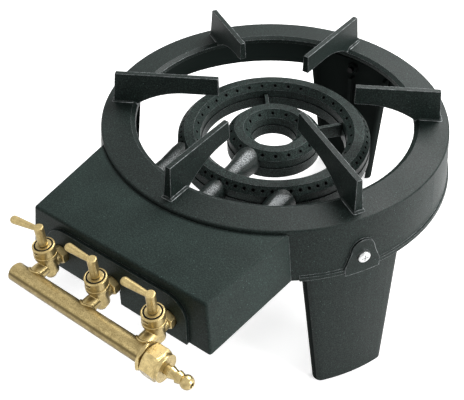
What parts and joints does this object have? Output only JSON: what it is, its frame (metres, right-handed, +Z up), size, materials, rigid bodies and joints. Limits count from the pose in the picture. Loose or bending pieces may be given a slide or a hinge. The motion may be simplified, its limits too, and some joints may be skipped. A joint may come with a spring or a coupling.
{
  "type": "gas boiling ring",
  "caption": "Cast-iron boiling ring for large stock pots, on splayed channel legs, with concentric burner rings, a gas box and a brass rail with lever taps.",
  "frame": {"origin": "floor plane under the centre of the object's outline", "axes": "+Z up from the floor, -Y towards the gas taps, +X towards the hose end of the gas rail"},
  "size_m": [0.4198, 0.557, 0.27],
  "materials": {
    "cast_iron": "satin black heat-resistant coating with a fine cast grain",
    "brass": "cast and turned brass, lightly polished",
    "zinc_steel": "bright zinc plating"
  },
  "bodies": {
    "stand": {"ring": "cast_iron", "gas_box": "cast_iron", "rib_rear": "cast_iron", "rib_left_rear": "cast_iron", "rib_left_front": "cast_iron", "rib_front": "cast_iron", "rib_right_front": "cast_iron", "rib_right_rear": "cast_iron", "outer_burner_base": "cast_iron", "outer_burner_cap": "cast_iron", "inner_burner_base": "cast_iron", "inner_burner_cap": "cast_iron", "burner_bridges": "cast_iron", "left_tube": "cast_iron", "middle_tube": "cast_iron", "right_tube": "cast_iron", "rear_leg": "cast_iron", "left_leg": "cast_iron", "right_leg": "cast_iron", "leg_screws": "zinc_steel", "leg_nuts": "zinc_steel", "gas_rail": "brass", "rail_locknut": "brass", "union_nut": "brass", "hose_tail": "brass", "outlet_nuts": "brass", "injectors": "brass", "left_tap_body": "brass", "left_tap_bonnet": "brass", "left_tap_spring": "zinc_steel", "middle_tap_body": "brass", "middle_tap_bonnet": "brass", "middle_tap_spring": "zinc_steel", "right_tap_body": "brass", "right_tap_bonnet": "brass", "right_tap_spring": "zinc_steel"},
    "left_tap_handle": {"left_tap_plug": "brass", "left_tap_lever": "brass"},
    "middle_tap_handle": {"middle_tap_plug": "brass", "middle_tap_lever": "brass"},
    "right_tap_handle": {"right_tap_plug": "brass", "right_tap_lever": "brass"}
  },
  "joints": [
    {"name": "left_tap_turn", "type": "hinge", "parent": "stand", "child": "left_tap_handle", "pos_m": [-0.069, -0.23818, 0.1925], "axis": [0, 0, 1], "range_deg": [-9, 81]},
    {"name": "middle_tap_turn", "type": "hinge", "parent": "stand", "child": "middle_tap_handle", "pos_m": [0, -0.23818, 0.1925], "axis": [0, 0, 1], "range_deg": [0, 90]},
    {"name": "right_tap_turn", "type": "hinge", "parent": "stand", "child": "right_tap_handle", "pos_m": [0.069, -0.23818, 0.1925], "axis": [0, 0, 1], "range_deg": [-1, 89]}
  ]
}
